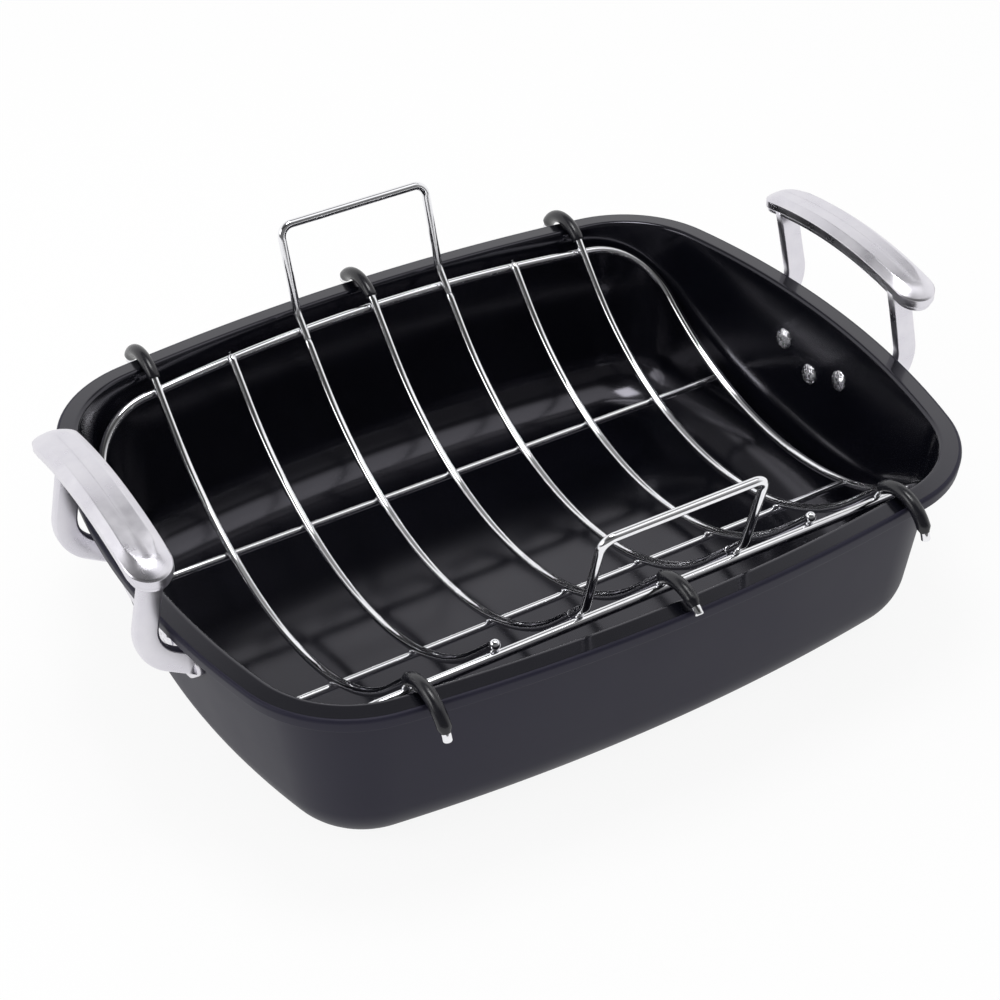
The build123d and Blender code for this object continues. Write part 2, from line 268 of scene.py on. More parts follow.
def capped(path, radii, bevel, ball):
    """A wire's points and radii with a rounded cut or a ball at the first end."""
    radius = radii[-1]
    way = (path[1] - path[0]).normalized()
    if ball:
        start = path[0] - way * ball
        last = math.pi - math.asin(radius / ball)
        angles = [last * i / 12 for i in range(13)]
        head = [(ball * (1 - math.cos(a)), max(ball * math.sin(a), radius / 50)) for a in angles]
    else:
        start = path[0]
        angles = [math.pi / 2 * i / 6 for i in range(7)]
        head = [(bevel * (1 - math.cos(a)), radius - bevel + bevel * math.sin(a)) for a in angles]
    reach = head[-1][0] + bevel / 2
    kept = next(i for i, point in enumerate(path) if (point - start).dot(way) > reach)
    points = [start + way * run for run, size in head] + path[kept:]
    return points, [size for run, size in head] + radii[kept:]


def wire(shell, path, diameter, bevel=WIRE_EDGE, closed=False, balls=(0, 0)):
    """A round wire along a path, its cut ends slightly rounded or upset into balls."""
    path = [Vector(point) for point in path]
    radii = [diameter / 2] * len(path)
    if not closed:
        for ball in balls:
            path, radii = capped(path, radii, bevel, ball / 2)
            path, radii = path[::-1], radii[::-1]
    count = len(path)
    ways = []
    for i in range(count):
        if closed:
            ways.append((path[(i + 1) % count] - path[i - 1]).normalized())
        else:
            ways.append((path[min(i + 1, count - 1)] - path[max(i - 1, 0)]).normalized())
    side = ways[0].orthogonal().normalized()
    rings = []
    for i in range(count):
        side = (side - ways[i] * side.dot(ways[i])).normalized()
        up = ways[i].cross(side)
        turns = [2 * math.pi * j / WIRE_SIDES for j in range(WIRE_SIDES)]
        rings.append([path[i] + (side * math.cos(t) + up * math.sin(t)) * radii[i] for t in turns])
    shell.rings(rings, closed=closed, caps=not closed)


# Materials

def new_material(name):
    material = bpy.data.materials.new(name)
    material.use_nodes = True
    nodes = material.node_tree.nodes
    return material, nodes, material.node_tree.links, nodes["Principled BSDF"]


def noise_node(nodes, links, scale, detail=4.0, roughness=0.55, stretch=(1, 1, 1)):
    """Noise over the object's own coordinates, stretched along an axis if wanted."""
    coords = nodes.new("ShaderNodeTexCoord")
    mapping = nodes.new("ShaderNodeMapping")
    mapping.inputs["Scale"].default_value = stretch
    texture = nodes.new("ShaderNodeTexNoise")
    texture.inputs["Scale"].default_value = scale
    texture.inputs["Detail"].default_value = detail
    texture.inputs["Roughness"].default_value = roughness
    links.new(coords.outputs["Object"], mapping.inputs["Vector"])
    links.new(mapping.outputs["Vector"], texture.inputs["Vector"])
    return texture.outputs["Fac"]


def value_ramp(nodes, links, source, low, high, low_at=0.3, high_at=0.7):
    """Turns noise or a direction into a range of values."""
    node = nodes.new("ShaderNodeMapRange")
    node.inputs["From Min"].default_value = low_at
    node.inputs["From Max"].default_value = high_at
    node.inputs["To Min"].default_value = low
    node.inputs["To Max"].default_value = high
    links.new(source, node.inputs["Value"])
    return node.outputs["Result"]


def colour_ramp(nodes, links, source, low, high):
    """Turns noise into a range of colours."""
    node = nodes.new("ShaderNodeValToRGB")
    for element, place, colour in zip(node.color_ramp.elements, (0.3, 0.7), (low, high)):
        element.position = place
        element.color = (*colour, 1)
    links.new(source, node.inputs["Fac"])
    return node.outputs["Color"]


def surface(nodes, links, shader, source, colours, roughness):
    """The range of colours and of roughness that a texture gives a surface."""
    links.new(colour_ramp(nodes, links, source, *colours), shader.inputs["Base Color"])
    links.new(value_ramp(nodes, links, source, *roughness), shader.inputs["Roughness"])


def bump(nodes, links, shader, height, strength, distance):
    node = nodes.new("ShaderNodeBump")
    node.inputs["Strength"].default_value = strength
    node.inputs["Distance"].default_value = distance
    links.new(height, node.inputs["Height"])
    links.new(node.outputs["Normal"], shader.inputs["Normal"])


def coated_outside():
    """Satin charcoal finish of the pan's outside: very fine grain and slight clouding."""
    material, nodes, links, shader = new_material("pan_outside_satin")
    clouds = noise_node(nodes, links, 14.0)
    colours = (0.013, 0.0125, 0.024), (0.018, 0.017, 0.030)
    surface(nodes, links, shader, clouds, colours, (0.42, 0.5))
    shader.inputs["Specular IOR Level"].default_value = 0.2
    shader.inputs["Specular Tint"].default_value = COAT_TINT
    grain = noise_node(nodes, links, 1800.0, detail=2.0)
    bump(nodes, links, shader, grain, 0.12, 0.00006)
    return material


def coated_inside():
    """Glossy black non-stick coating, with the faint orange-peel that such a film has."""
    material, nodes, links, shader = new_material("pan_inside_nonstick")
    clouds = noise_node(nodes, links, 20.0)
    colours = (0.0022, 0.0024, 0.0042), (0.0030, 0.0032, 0.0056)
    surface(nodes, links, shader, clouds, colours, (0.13, 0.17))
    shader.inputs["Specular IOR Level"].default_value = 0.7
    shader.inputs["Specular Tint"].default_value = COAT_TINT
    peel = noise_node(nodes, links, 420.0, detail=2.0)
    bump(nodes, links, shader, peel, 0.03, 0.0001)
    return material


def cast_metal():
    """Satin cast steel of the end handles: faint brushing along the grip and soft mottling."""
    material, nodes, links, shader = new_material("handle_cast_metal")
    shader.inputs["Metallic"].default_value = 1.0
    clouds = noise_node(nodes, links, 60.0, detail=6.0)
    colours = (0.68, 0.665, 0.72), (0.80, 0.785, 0.83)
    surface(nodes, links, shader, clouds, colours, (0.25, 0.36))
    brushing = noise_node(nodes, links, 900.0, detail=3.0, stretch=(1, 0.12, 1))
    bump(nodes, links, shader, brushing, 0.12, 0.00008)
    return material


def rivet_metal():
    """Rivet heads: bright, with small hammer facets."""
    material, nodes, links, shader = new_material("rivet_hammered")
    shader.inputs["Metallic"].default_value = 1.0
    coords = nodes.new("ShaderNodeTexCoord")
    cells = nodes.new("ShaderNodeTexVoronoi")
    cells.feature = "SMOOTH_F1"
    cells.inputs["Scale"].default_value = 520.0
    cells.inputs["Smoothness"].default_value = 0.4
    links.new(coords.outputs["Object"], cells.inputs["Vector"])
    colours = (0.74, 0.73, 0.78), (0.86, 0.85, 0.88)
    surface(nodes, links, shader, cells.outputs["Distance"], colours, (0.2, 0.32))
    bump(nodes, links, shader, cells.outputs["Distance"], 0.55, 0.0008)
    return material


def chrome():
    """Bright plating on drawn wire: sharp reflections with a slight haze that comes and goes."""
    material, nodes, links, shader = new_material("rack_chrome")
    shader.inputs["Metallic"].default_value = 1.0
    haze = noise_node(nodes, links, 90.0)
    colours = (0.82, 0.82, 0.85), (0.90, 0.90, 0.92)
    surface(nodes, links, shader, haze, colours, (0.06, 0.12))
    return material


def vinyl():
    """Black dipped sleeves: soft sheen with a fine uneven skin."""
    material, nodes, links, shader = new_material("sleeve_vinyl")
    skin = noise_node(nodes, links, 260.0)
    colours = (0.006, 0.006, 0.009), (0.010, 0.010, 0.014)
    surface(nodes, links, shader, skin, colours, (0.2, 0.3))
    bump(nodes, links, shader, skin, 0.06, 0.0002)
    return material


OUTSIDE = coated_outside()
INSIDE = coated_inside()
CAST = cast_metal()
RIVET = rivet_metal()
CHROME = chrome()
VINYL = vinyl()


# Pan body

def corner_centre(outline):
    """The centre of the right rear corner's arc, tangent inside to both bowed sides."""
    half_length, half_width, side_bow, end_bow, corner = outline
    side_centre = side_bow - half_width
    end_centre = end_bow - half_length
    apart = math.hypot(side_centre, end_centre)
    side_leg = side_bow - corner
    end_leg = end_bow - corner
    along = (side_leg**2 - end_leg**2 + apart**2) / (2 * apart)
    across = math.sqrt(side_leg**2 - along**2)
    x = (across * side_centre - along * end_centre) / apart
    y = (along * side_centre + across * end_centre) / apart - side_centre
    return x, y


def outline_samples(outline):
    """Points round a bowed outline, anticlockwise from the right, as (point, normal angle)."""
    half_length, half_width, side_bow, end_bow, corner = outline
    side_centre = side_bow - half_width
    end_centre = end_bow - half_length
    x, y = corner_centre(outline)
    side = math.atan2(x, y + side_centre)
    end = math.atan2(y, x + end_centre)
    bend = math.pi / 2 - side - end
    quarter = math.pi / 2
    arcs = [
        (-end_centre, 0, end_bow, -end, 2 * end, 26),
        (x, y, corner, end, bend, 18),
        (0, -side_centre, side_bow, quarter - side, 2 * side, 44),
        (-x, y, corner, quarter + side, bend, 18),
        (end_centre, 0, end_bow, 2 * quarter - end, 2 * end, 26),
        (-x, -y, corner, 2 * quarter + end, bend, 18),
        (0, side_centre, side_bow, 3 * quarter - side, 2 * side, 44),
        (x, -y, corner, 3 * quarter + side, bend, 18),
    ]
    samples = []
    for centre_x, centre_y, radius, start, sweep, count in arcs:
        for i in range(count):
            angle = start + sweep * i / count
            point = Vector((centre_x + radius * math.cos(angle), centre_y + radius * math.sin(angle), 0))
            samples.append((point, angle))
    return samples


BASE_SAMPLES = outline_samples(BASE)
RIM_SAMPLES = outline_samples(RIM)


def wall_ring(z, grow):
    """A ring of points at a height, so far outside the ruled outer wall."""
    share = z / PAN_HEIGHT
    ring = []
    for (low, low_angle), (high, high_angle) in zip(BASE_SAMPLES, RIM_SAMPLES):
        angle = low_angle + (high_angle - low_angle) * share
        point = low.lerp(high, share) + Vector((math.cos(angle), math.sin(angle), 0)) * grow
        ring.append((point.x, point.y, z))
    return ring


def pan_section():
    """The sheet's section from the middle of the floor inside to the middle underneath."""
    floor_run = BASE_BEND * math.tan((math.pi / 2 - WALL_LEAN) / 2)
    turn = math.pi / 2 - WALL_LEAN
    lean = math.tan(WALL_LEAN)

    def bend(radius, angle):
        offset = -floor_run + radius * math.sin(angle)
        z = BASE_BEND - radius * math.cos(angle)
        return z, offset - z * lean

    inside, outside = [], []
    steps = 18
    for i in range(steps + 1):
        inside.append(bend(BASE_BEND - SHEET, turn * i / steps))
        outside.append(bend(BASE_BEND, turn * i / steps))
    # Wall
    lip_run = LIP_INNER_BEND * math.tan(turn / 2)
    lip_start = PAN_HEIGHT - lip_run * math.cos(WALL_LEAN)
    for share in (0.15, 0.3, 0.45, 0.6, 0.75, 0.9):
        inside.append((inside[steps][0] + (lip_start - inside[steps][0]) * share, -SHEET))
    # Inner bend of the lip
    centre_offset = -SHEET + lip_run
    centre_z = PAN_HEIGHT - LIP_INNER_BEND
    for i in range(9):
        angle = turn * (1 - i / 8)
        z = centre_z + LIP_INNER_BEND * math.cos(angle)
        inside.append((z, centre_offset - LIP_INNER_BEND * math.sin(angle) + (PAN_HEIGHT - z) * lean))
    # The lip, sloping slightly down to its bead
    flat_end = LIP_WIDTH - BEAD_RADIUS
    for share in (0.08, 0.3, 0.6, 0.9, 1.0):
        inside.append((PAN_HEIGHT - LIP_SLOPE * share, centre_offset + (flat_end - centre_offset) * share))
    rim = []
    bead_z = PAN_HEIGHT - LIP_SLOPE - BEAD_RADIUS
    for i in range(1, 9):
        angle = math.pi / 2 * i / 8
        rim.append((bead_z + BEAD_RADIUS * math.cos(angle), flat_end + BEAD_RADIUS * math.sin(angle)))
    # Skirt, its raw edge slightly rounded
    skirt_low = PAN_HEIGHT - SKIRT_DEPTH
    edge = SHEET * SKIRT_EDGE_SHARE
    rim += [(skirt_low + 2 * edge, LIP_WIDTH), (skirt_low + edge, LIP_WIDTH), (skirt_low, LIP_WIDTH - edge)]
    rim += [(skirt_low, LIP_WIDTH - SHEET + edge), (skirt_low + edge, LIP_WIDTH - SHEET)]
    under = PAN_HEIGHT - LIP_SLOPE - SHEET
    rim += [(under - 2 * SHEET, LIP_WIDTH - SHEET), (under, LIP_WIDTH - 2 * SHEET)]
    rim += [(under, SHEET), (under - SHEET, 0)]
    for share in (0.85, 0.65, 0.45, 0.25, 0.1):
        rim.append((outside[steps][0] + (under - outside[steps][0]) * share, 0))
    return inside, rim, outside[::-1]


def pan_body():
    shell = Shell()
    inside, rim, outside = pan_section()
    rings = []
    floor_shares = (0.02, 0.25, 0.5, 0.7, 0.85, 0.95)
    first = wall_ring(*inside[0])
    rings += [[(x * share, y * share, z) for x, y, z in first] for share in floor_shares]
    rings += [wall_ring(z, grow) for z, grow in inside]
    inside_count = len(rings) - 1
    rings += [wall_ring(z, grow) for z, grow in rim + outside]
    last = rings[-1]
    rings += [[(x * share, y * share, z) for x, y, z in last] for share in reversed(floor_shares)]
    paint = [1 if i < inside_count else 0 for i in range(len(rings))]
    shell.rings(rings, caps=True, paint=paint)
    add_piece("pan_shell", shell.mesh("pan_shell"), "pan", [OUTSIDE, INSIDE], "pan_body")


# End handles

def wall_point(y, z, grow):
    """A point so far outside the right end wall."""
    share = z / PAN_HEIGHT
    half_length = BASE[0] + (RIM[0] - BASE[0]) * share
    end_bow = BASE[3] + (RIM[3] - BASE[3]) * share
    return half_length - end_bow + math.sqrt(end_bow**2 - y**2) + grow


def slot_ring(inset, drop, nose=None):
    """The grip's outline in plan, so far in from its edge, on the arch so far below the top.

    Over the round ends the inset and the drop pass over into those of the nose, if it has its own.
    """
    straight = (GRIP_LENGTH - GRIP_WIDTH) / 2
    radius = GRIP_WIDTH / 2
    plan = []
    side_steps, end_steps = 36, 20
    for end in (1, -1):
        for i in range(end_steps):
            angle = math.pi * i / end_steps
            plan.append((math.cos(angle) * end, math.sin(angle) * end, straight * end))
        for i in range(side_steps):
            plan.append((-end, 0, straight * end * (1 - 2 * i / side_steps)))
    nose_inset, nose_drop = nose or (inset, drop)
    nose_start = NOSE_START_SHARE * straight
    nose_run = straight + radius / 2 - nose_start
    ring = []
    for nx, ny, y in plan:
        share = max(0.0, min(1.0, (abs(y) + abs(ny) * radius - nose_start) / nose_run))
        share = share * share * (3 - 2 * share)
        r = radius - inset + (inset - nose_inset) * share
        py = y + ny * r
        arch = GRIP_ARCH - drop + (drop - nose_drop) * share
        ring.append((GRIP_CENTRE + nx * r, py, GRIP_TOP - GRIP_ARCH + math.sqrt(arch**2 - py**2)))
    return ring


def grip(shell):
    """The arched grip: flat top, bevelled long sides, crowned noses and a narrower rib below."""
    rib = CAP_THICKNESS + RIB_THICKNESS
    middle = GRIP_WIDTH / 2 - GRIP_SPINE
    rings = [slot_ring(middle, 0.0), slot_ring(NOSE_INSET + FLAT_MARGIN, 0.0)]
    blend = BEVEL_BLEND
    for i, bevel in enumerate(BEVEL_SHARES):
        share = i / (len(BEVEL_SHARES) - 1)
        crown = GRIP_BEVEL_DROP * (1 - math.cos(math.pi / 2 * share)) + NOSE_STEP
        nose = (NOSE_INSET * (1 - share), crown)
        rings.append(slot_ring(GRIP_BEVEL * (1 - bevel) + blend, GRIP_BEVEL_DROP * bevel, nose))
        blend = 0
    rings.append(slot_ring(0.0, GRIP_BEVEL_DROP + BEVEL_FOOT))
    rings += [slot_ring(inset, CAP_THICKNESS + drop) for inset, drop in CAP_LOWER_EDGE]
    rings += [slot_ring(RIB_INSET + inset, CAP_THICKNESS + drop) for inset, drop in RIB_ROOT]
    rings += [slot_ring(RIB_INSET + inset, rib + drop) for inset, drop in RIB_LOWER_EDGE]
    rings.append(slot_ring(middle, rib))
    shell.rings(rings, caps=True)


def rounded_section(width, thickness, edge, steps=4):
    """A rounded rectangle about the origin, as (across, aside)."""
    points = []
    for quadrant, (sx, sy) in enumerate([(1, 1), (-1, 1), (-1, -1), (1, -1)]):
        for i in range(steps + 1):
            angle = math.pi / 2 * (quadrant + i / steps)
            x = sx * (width / 2 - edge) + edge * math.cos(angle)
            y = sy * (thickness / 2 - edge) + edge * math.sin(angle)
            points.append((x, y))
    return points


def leg(shell, side):
    """One J-shaped leg, from inside the flange up into the grip."""
    cx, cz = LEG_BEND_CENTRE
    y = side * LEG_SPACING / 2
    path = []
    root = LEG_ROOT_ANGLE
    way = Vector((-math.sin(root), 0, math.cos(root)))
    start = Vector((cx + LEG_BEND * math.cos(root), y, cz + LEG_BEND * math.sin(root)))
    for share in (1.0, 0.66, 0.33):
        path.append((start - way * LEG_ROOT_RUN * share, way))
    steps = 22
    for i in range(steps + 1):
        angle = root + (LEG_LEAN - root) * i / steps
        point = Vector((cx + LEG_BEND * math.cos(angle), y, cz + LEG_BEND * math.sin(angle)))
        path.append((point, Vector((-math.sin(angle), 0, math.cos(angle)))))
    last, way = path[-1]
    rise = (GRIP_TOP - CAP_THICKNESS - LEG_SINK - last.z) / way.z
    for share in (0.33, 0.66, 1.0):
        path.append((last + way * rise * share, way))
    section = rounded_section(LEG_WIDTH, LEG_THICKNESS, LEG_EDGE)
    rings = []
    for point, way in path:
        across = Vector((way.z, 0, -way.x))
        ring = []
        for a, b in section:
            p = point + across * a + Vector((0, b, 0))
            # The root stays outside the pan's wall
            if p.z < LEG_FREE_HEIGHT:
                p.x = max(p.x, wall_point(p.y, p.z, ROOT_CLEARANCE))
            ring.append(p)
        rings.append(ring)
    shell.rings(rings, caps=True)


def between(start, stop):
    """Points along a straight edge of the flange, without its ends."""
    return [start.lerp(stop, k / FLANGE_EDGE_STEPS) for k in range(1, FLANGE_EDGE_STEPS)]


def flange_outline(inset):
    """The flange's rounded hexagon as (y, z), so far in from its edge."""
    corners = FLANGE_HALF + [(-y, z) for y, z in reversed(FLANGE_HALF)]
    count = len(corners)
    points = []
    for i in range(count):
        before, here, after = (Vector(corners[(i + k) % count]) for k in (-1, 0, 1))
        into, out = (here - before).normalized(), (after - here).normalized()
        half = math.acos(max(-1, min(1, into.dot(out)))) / 2
        run = FLANGE_CORNER * math.tan(half)
        inward = Vector((-into.y, into.x))
        centre = here - into * run + inward * FLANGE_CORNER
        start = math.atan2(-inward.y, -inward.x)
        radius = FLANGE_CORNER - inset
        bend = []
        for k in range(7):
            angle = start + 2 * half * k / 6
            bend.append(centre + Vector((math.cos(angle), math.sin(angle))) * radius)
        # The long edges follow the bowed wall in short steps
        if points:
            points += between(points[-1], bend[0])
        points += bend
    points += between(points[-1], points[0])
    return [(p.x, p.y) for p in points]


def flange(shell):
    """The plate that the legs grow from, bent to the end wall."""
    middle_z = (FLANGE_HALF[0][1] + FLANGE_HALF[2][1]) / 2

    def ring(inset, grow, share=1.0):
        ring_points = []
        for y, z in flange_outline(inset):
            y, z = y * share, middle_z + (z - middle_z) * share
            ring_points.append((wall_point(y, z, grow), y, z))
        return ring_points

    back = FLANGE_WALL_GAP
    face = back + FLANGE_THICKNESS
    rings = [ring(0, back, MIDDLE_SHARE), ring(0, back, 0.5), ring(0, back), ring(0, face - FLANGE_EDGE)]
    rings += [ring(FLANGE_EDGE * 0.3, face - FLANGE_EDGE * 0.3), ring(FLANGE_EDGE, face)]
    rings += [ring(FLANGE_EDGE, face, share) for share in (0.8, 0.55, 0.3, MIDDLE_SHARE)]
    shell.rings(rings, caps=True)


def end_handle(side, name, node):
    shell = Shell()
    grip(shell)
    for leg_side in (-1, 1):
        leg(shell, leg_side)
    flange(shell)
    if side < 0:
        shell.mirror()
    add_piece(name, shell.mesh(name), "pan", [CAST], node)


def rivet_head(shell, origin, normal, way, seed):
    """A domed head on one face of the joint, a little uneven."""
    across = normal.cross(Vector((0, 0, 1))).normalized()
    up = across.cross(normal)
    rings = []
    steps = 10
    for i in range(steps + 1):
        angle = math.pi / 2 * i / steps
        radius = RIVET_HEAD / 2 * math.cos(angle) + RIVET_TIP
        height = RIVET_HEAD_HEIGHT * math.sin(angle)
        ring = []
        for j in range(RIVET_SIDES):
            turn = 2 * math.pi * j / RIVET_SIDES * way
            p = origin + normal * (way * height)
            p += (across * math.cos(turn) + up * math.sin(turn)) * radius
            dent = noise.noise(p * 0.55 + seed) * RIVET_DENT * math.sin(angle)
            ring.append(p + normal * way * dent)
        rings.append(ring)
    shell.rings(rings, caps=True)


def rivets(side, name, node):
    """Heads inside the pan and on the flange, for the three rivets of one end."""
    shell = Shell()
    for number, (y, z) in enumerate(RIVET_PLACES):
        plan_angle = math.asin(y / RIM[3])
        normal = Vector((math.cos(plan_angle), math.sin(plan_angle), -math.tan(WALL_LEAN))).normalized()
        origin = Vector((wall_point(y, z, 0), y, z))
        seed = Vector((number * 7, side * 3, 0))
        rivet_head(shell, origin - normal * (SHEET + RIVET_SHEET_GAP), normal, -1, seed)
        rivet_head(shell, origin + normal * (FLANGE_THICKNESS + RIVET_FLANGE_GAP), normal, 1, seed)
    if side < 0:
        shell.mirror()
    add_piece(name, shell.mesh(name), "pan", [RIVET], node)


# Rack

PERIMETER_OUT = (CRADLE_WIRE + PERIMETER_WIRE) / 2 + WELD_GAP
LONG_OUT = (CRADLE_WIRE + LONG_WIRE) / 2 + WELD_GAP
RAIL_Y = RIM[1] - SHEET - RAIL_WALL_GAP
RAIL_Z = PAN_HEIGHT - RAIL_DROP
RAIL_RISE = RAIL_Z - CRADLE_LOW
REACH_SQUARED = RAIL_Y**2 + RAIL_RISE**2 - PERIMETER_OUT**2 - FLANK_STRAIGHT**2
CRADLE_RADIUS = REACH_SQUARED / (2 * (RAIL_RISE + PERIMETER_OUT))
RAIL_ANGLE = math.atan2(RAIL_Y, CRADLE_RADIUS - RAIL_RISE)
SLOPE = RAIL_ANGLE - math.atan2(FLANK_STRAIGHT, CRADLE_RADIUS + PERIMETER_OUT)
CRADLE_Z = CRADLE_LOW + CRADLE_RADIUS
FLANK_START = SLOPE * CRADLE_RADIUS
RAIL_REACH = FLANK_START + FLANK_STRAIGHT
BEAD_Z = PAN_HEIGHT - BEAD_RADIUS


def on_rack(x, run, out):
    """A point of the rack: so far along X, so far round from the lowest line, so far outside."""
    bent = max(-FLANK_START, min(FLANK_START, run))
    angle = bent / CRADLE_RADIUS
    straight = run - bent
    y = (CRADLE_RADIUS + out) * math.sin(angle) + straight * math.cos(angle)
    z = CRADLE_Z - (CRADLE_RADIUS + out) * math.cos(angle) + straight * math.sin(angle)
    return Vector((x, y, z))


CORNER_START = on_rack(0, RAIL_REACH - LOOP_CORNER, PERIMETER_OUT)
RACK_HALF = wall_point(CORNER_START.y, CORNER_START.z, -SHEET) - RACK_CORNER_GAP
PITCH = (RACK_HALF - END_WIRE_INSET) / 3


def rail_run(x):
    return RAIL_REACH - RAIL_BOW + math.sqrt(RAIL_BOW**2 - x**2)


def end_x(run):
    return RACK_HALF - RACK_END_BOW + math.sqrt(RACK_END_BOW**2 - run**2)


def hook_run(x, radius):
    """How far round a cradle wire bends into its hook."""
    half_width = RIM[1] + LIP_WIDTH - BEAD_RADIUS
    side_bow = RIM[2] + LIP_WIDTH - BEAD_RADIUS
    bead_y = half_width - side_bow + math.sqrt(side_bow**2 - x**2)
    hang = radius - SLEEVE / 2 - SEAT_GAP - BEAD_RADIUS
    first = on_rack(x, FLANK_START, radius)
    away_y, away_z = bead_y - first.y, BEAD_Z - first.z
    along = away_y * math.cos(SLOPE) + away_z * math.sin(SLOPE)
    aside = away_y * math.sin(SLOPE) - away_z * math.cos(SLOPE)
    return FLANK_START + along - math.sqrt(hang**2 - aside**2)


def cradle_x(number):
    return (number - 4) * PITCH


def section_run(x, start, stop):
    """The cradle section from one run to another, as points."""
    count = round((stop - start) / STEP)
    return [on_rack(x, start + (stop - start) * i / count, 0) for i in range(count + 1)]


def hook_arc(x, radius, side, first, last):
    """An arc of a hook, from the angle first to last, on the front (-1) or rear (1) side."""
    centre = on_rack(x, hook_run(x, radius), radius)
    count = max(6, round(abs(last - first) * radius / HOOK_STEP))
    points = []
    for i in range(count + 1):
        angle = first + (last - first) * i / count
        y = centre.y + radius * math.cos(angle)
        points.append(Vector((x, side * y, centre.z + radius * math.sin(angle))))
    return points


def hooked_path(x, radius, front_tip, rear_tip):
    run = hook_run(x, radius)
    top = math.pi / 2 + SLOPE
    front = hook_arc(x, radius, -1, front_tip, top)
    rear = hook_arc(x, radius, 1, top, rear_tip)
    return joined(front, section_run(x, -run, run), rear)


HOOKS = [
    (1, "left", END_HOOK, END_TIP, END_TIP),
    (4, "middle", MIDDLE_HOOK, FRONT_TIP, REAR_TIP),
    (7, "right", END_HOOK, END_TIP, END_TIP),
]


def rack_piece(name, shell, node, material=CHROME):
    add_piece(name, shell.mesh(name), "rack", [material], node)


def cradle_wires():
    for number, _, radius, front_tip, rear_tip in HOOKS:
        shell = Shell()
        wire(shell, hooked_path(cradle_x(number), radius, front_tip, rear_tip), CRADLE_WIRE)
        rack_piece(f"hooked_wire_{number}", shell, f"cradle_wire_{number}")
    for number in (2, 6):
        shell = Shell()
        run = rail_run(cradle_x(number)) + SHORT_OVERHANG
        wire(shell, section_run(cradle_x(number), -run, run), CRADLE_WIRE, balls=(BALL_END, 0))
        rack_piece(f"balled_wire_{number}", shell, f"cradle_wire_{number}")
    joint = FLANK_START + lift_bend()[0] - LIFT_TAIL - LIFT_SEAM
    for number in (3, 5):
        shell = Shell()
        wire(shell, section_run(cradle_x(number), -joint, joint), LIFT_WIRE, JOINT_EDGE)
        rack_piece(f"joined_wire_{number}", shell, f"cradle_wire_{number}")


def sleeves():
    for number, place, radius, front_tip, rear_tip in HOOKS:
        x = cradle_x(number)
        past = max(0, rail_run(x) + SLEEVE_START - hook_run(x, radius))
        first = math.pi / 2 + SLOPE - past / radius
        for side, end, tip in ((-1, "front", front_tip), (1, "rear", rear_tip)):
            path = hook_arc(x, radius, side, first, tip + BARE_TIP / radius)
            shell = Shell()
            wire(shell, path, SLEEVE, SLEEVE_EDGE)
            node = f"sleeve_{end}_{place}"
            rack_piece(f"dipped_{node}", shell, node, VINYL)


def perimeter_quarter():
    """The loop's right rear quarter: half a rail, two tangent arcs and half an end."""
    outline = (RACK_HALF, RAIL_REACH, RAIL_BOW, RACK_END_BOW, LOOP_CORNER)
    loop_x, loop_run = corner_centre(outline)
    rail_end_x = loop_x * RAIL_BOW / (RAIL_BOW - LOOP_CORNER)
    end_run = loop_run * RACK_END_BOW / (RACK_END_BOW - LOOP_CORNER)
    rail_end = on_rack(rail_end_x, rail_run(rail_end_x), PERIMETER_OUT)
    rail = arc_points(on_rack(0, RAIL_REACH, PERIMETER_OUT), (1, 0, 0), rail_end)
    end_start = on_rack(end_x(end_run), end_run, PERIMETER_OUT)
    end = arc_points(on_rack(RACK_HALF, 0, PERIMETER_OUT), (0, 1, 0), end_start)
    rail_way, way = end_way(rail), -end_way(end)
    gap = end_start - rail_end
    turn = 2 - 2 * rail_way.dot(way)
    slant = gap.dot(rail_way + way)
    handle = (math.sqrt(slant**2 + turn * gap.dot(gap)) - slant) / turn
    rail_handle, end_handle_point = rail_end + rail_way * handle, end_start - way * handle
    joint = (rail_handle + end_handle_point) / 2
    first = arc_points(rail_end, rail_way, joint)
    second = arc_points(joint, end_handle_point - rail_handle, end_start)
    return joined(rail, first, second, end[::-1])


def flip(path, x=1, y=1):
    return [Vector((p.x * x, p.y * y, p.z)) for p in path]


def perimeter():
    quarter = perimeter_quarter()
    half = joined(quarter, flip(quarter, y=-1)[::-1])
    loop = joined(half, flip(half, x=-1)[::-1])[:-1]
    shell = Shell()
    wire(shell, loop, PERIMETER_WIRE, closed=True)
    rack_piece("rim_loop", shell, "perimeter_wire")


def long_wires():
    point = on_rack(end_x(LONG_WIRE_REACH), LONG_WIRE_REACH, LONG_OUT)
    half = point.x - PERIMETER_WIRE / 2 - WELD_GAP
    for side, place in ((1, "rear"), (-1, "front")):
        path = [Vector((-half + 2 * half * i / 60, side * point.y, point.z)) for i in range(61)]
        shell = Shell()
        wire(shell, path, LONG_WIRE, LONG_WIRE_EDGE)
        rack_piece(f"straight_wire_{place}", shell, f"long_wire_{place}")


def lift_bend():
    """Where wires 3 and 5 bend into the rear lift handle: the run up the flank, and both ends."""
    foot, up = lift_plane()
    flank = Vector((0, math.cos(SLOPE), math.sin(SLOPE)))
    on_flank = on_rack(0, FLANK_START, 0)
    away = foot - on_flank
    meet = (away.y * up.z - away.z * up.y) / (flank.y * up.z - flank.z * up.y)
    trim = LIFT_BEND * math.tan((math.pi / 2 - SLOPE - LIFT_LEAN) / 2)
    return meet - trim, on_flank + flank * (meet - trim), on_flank + flank * meet + up * trim


def lift_plane():
    """The rear lift handle's plane: where its legs' lines meet the rail, and the way they lean."""
    foot = on_rack(0, rail_run(PITCH), PERIMETER_OUT)
    return foot, Vector((0, math.sin(LIFT_LEAN), math.cos(LIFT_LEAN)))


